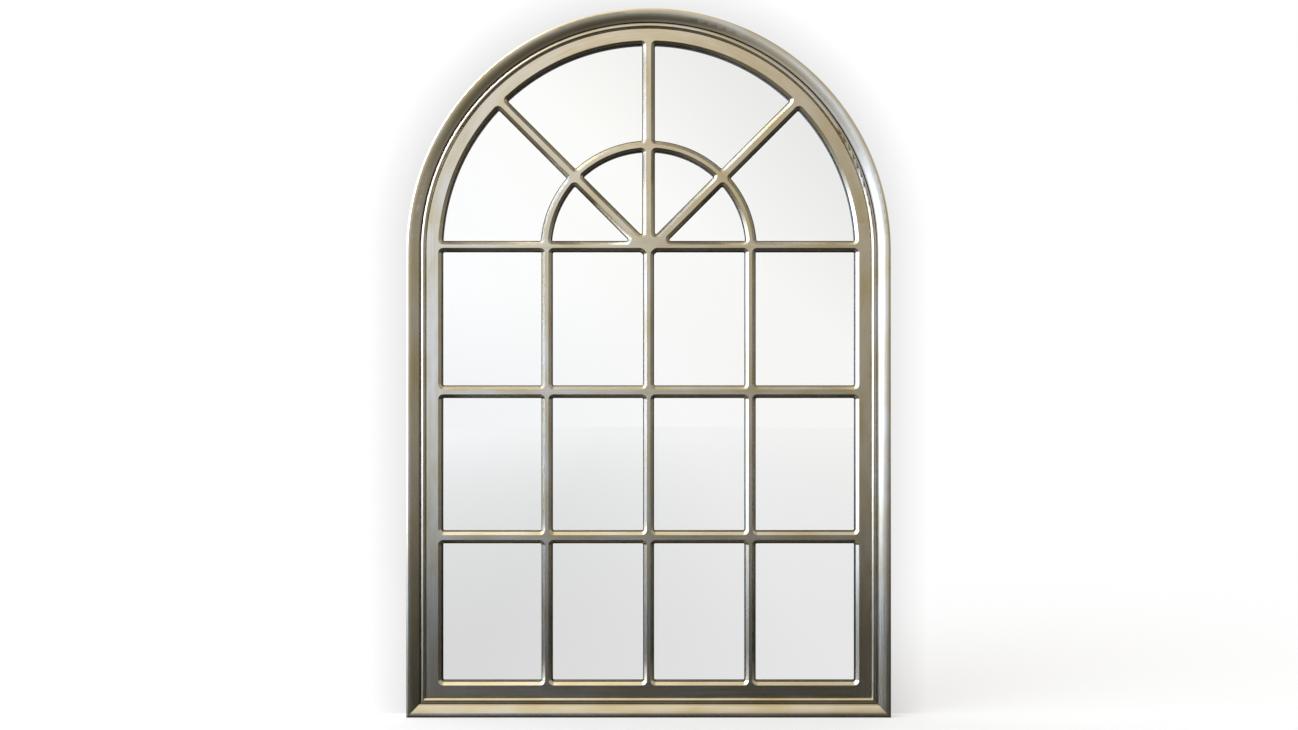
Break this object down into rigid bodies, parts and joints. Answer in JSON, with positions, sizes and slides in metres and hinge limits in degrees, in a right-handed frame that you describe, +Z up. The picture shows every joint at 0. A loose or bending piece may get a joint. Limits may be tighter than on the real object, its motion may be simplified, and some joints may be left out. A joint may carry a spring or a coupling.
{
  "type": "arched window mirror",
  "caption": "Tall wall mirror in the shape of an arched sash window: moulded wooden frame, flat lattice of bevelled bars with a fan in the head, satin champagne silver finish.",
  "frame": {"origin": "middle of the mirror's outline, on the surface of the wall that its rubber bumpers touch", "axes": "+Z up, +X to the viewer's right when facing the mirror, +Y into the wall, so the glass faces -Y"},
  "size_m": [0.9, 0.039, 1.317],
  "materials": {
    "silver_finish": "satin champagne silver paint over sealed and smoothed wood",
    "mirror_glass": "silvered float glass with a grey-painted back",
    "beech": "bare beech",
    "card": "plain brown board",
    "hardboard": "brown wood-fibre board, smooth side out",
    "zinc_steel": "bright zinc-plated steel",
    "rubber": "black rubber"
  },
  "bodies": {
    "mirror": {"outer_arch": "silver_finish", "left_stile": "silver_finish", "right_stile": "silver_finish", "bottom_rail": "silver_finish", "joint_dowels": "beech", "corner_biscuits": "beech", "arch_band": "silver_finish", "left_band": "silver_finish", "right_band": "silver_finish", "bottom_band": "silver_finish", "spring_bar": "silver_finish", "upper_crossbar": "silver_finish", "lower_crossbar": "silver_finish", "left_muntin": "silver_finish", "centre_muntin": "silver_finish", "right_muntin": "silver_finish", "fan_ring": "silver_finish", "left_spoke": "silver_finish", "centre_spoke": "silver_finish", "right_spoke": "silver_finish", "mirror_glass": "mirror_glass", "glass_pads": "rubber", "interleaf_sheet": "card", "back_panel": "hardboard", "back_panel_screws": "zinc_steel", "left_hanger_strap": "zinc_steel", "right_hanger_strap": "zinc_steel", "hanger_screws": "zinc_steel", "wall_bumpers": "rubber"},
    "left_ring": {"left_hanger_ring": "zinc_steel"},
    "right_ring": {"right_hanger_ring": "zinc_steel"}
  },
  "joints": [
    {"name": "left_ring_hinge", "type": "hinge", "parent": "mirror", "child": "left_ring", "pos_m": [-0.422, -0.0029, 0.1485], "axis": [1, 0, 0], "range_deg": [0, 180]},
    {"name": "right_ring_hinge", "type": "hinge", "parent": "mirror", "child": "right_ring", "pos_m": [0.422, -0.0029, 0.1485], "axis": [1, 0, 0], "range_deg": [0, 180]}
  ]
}
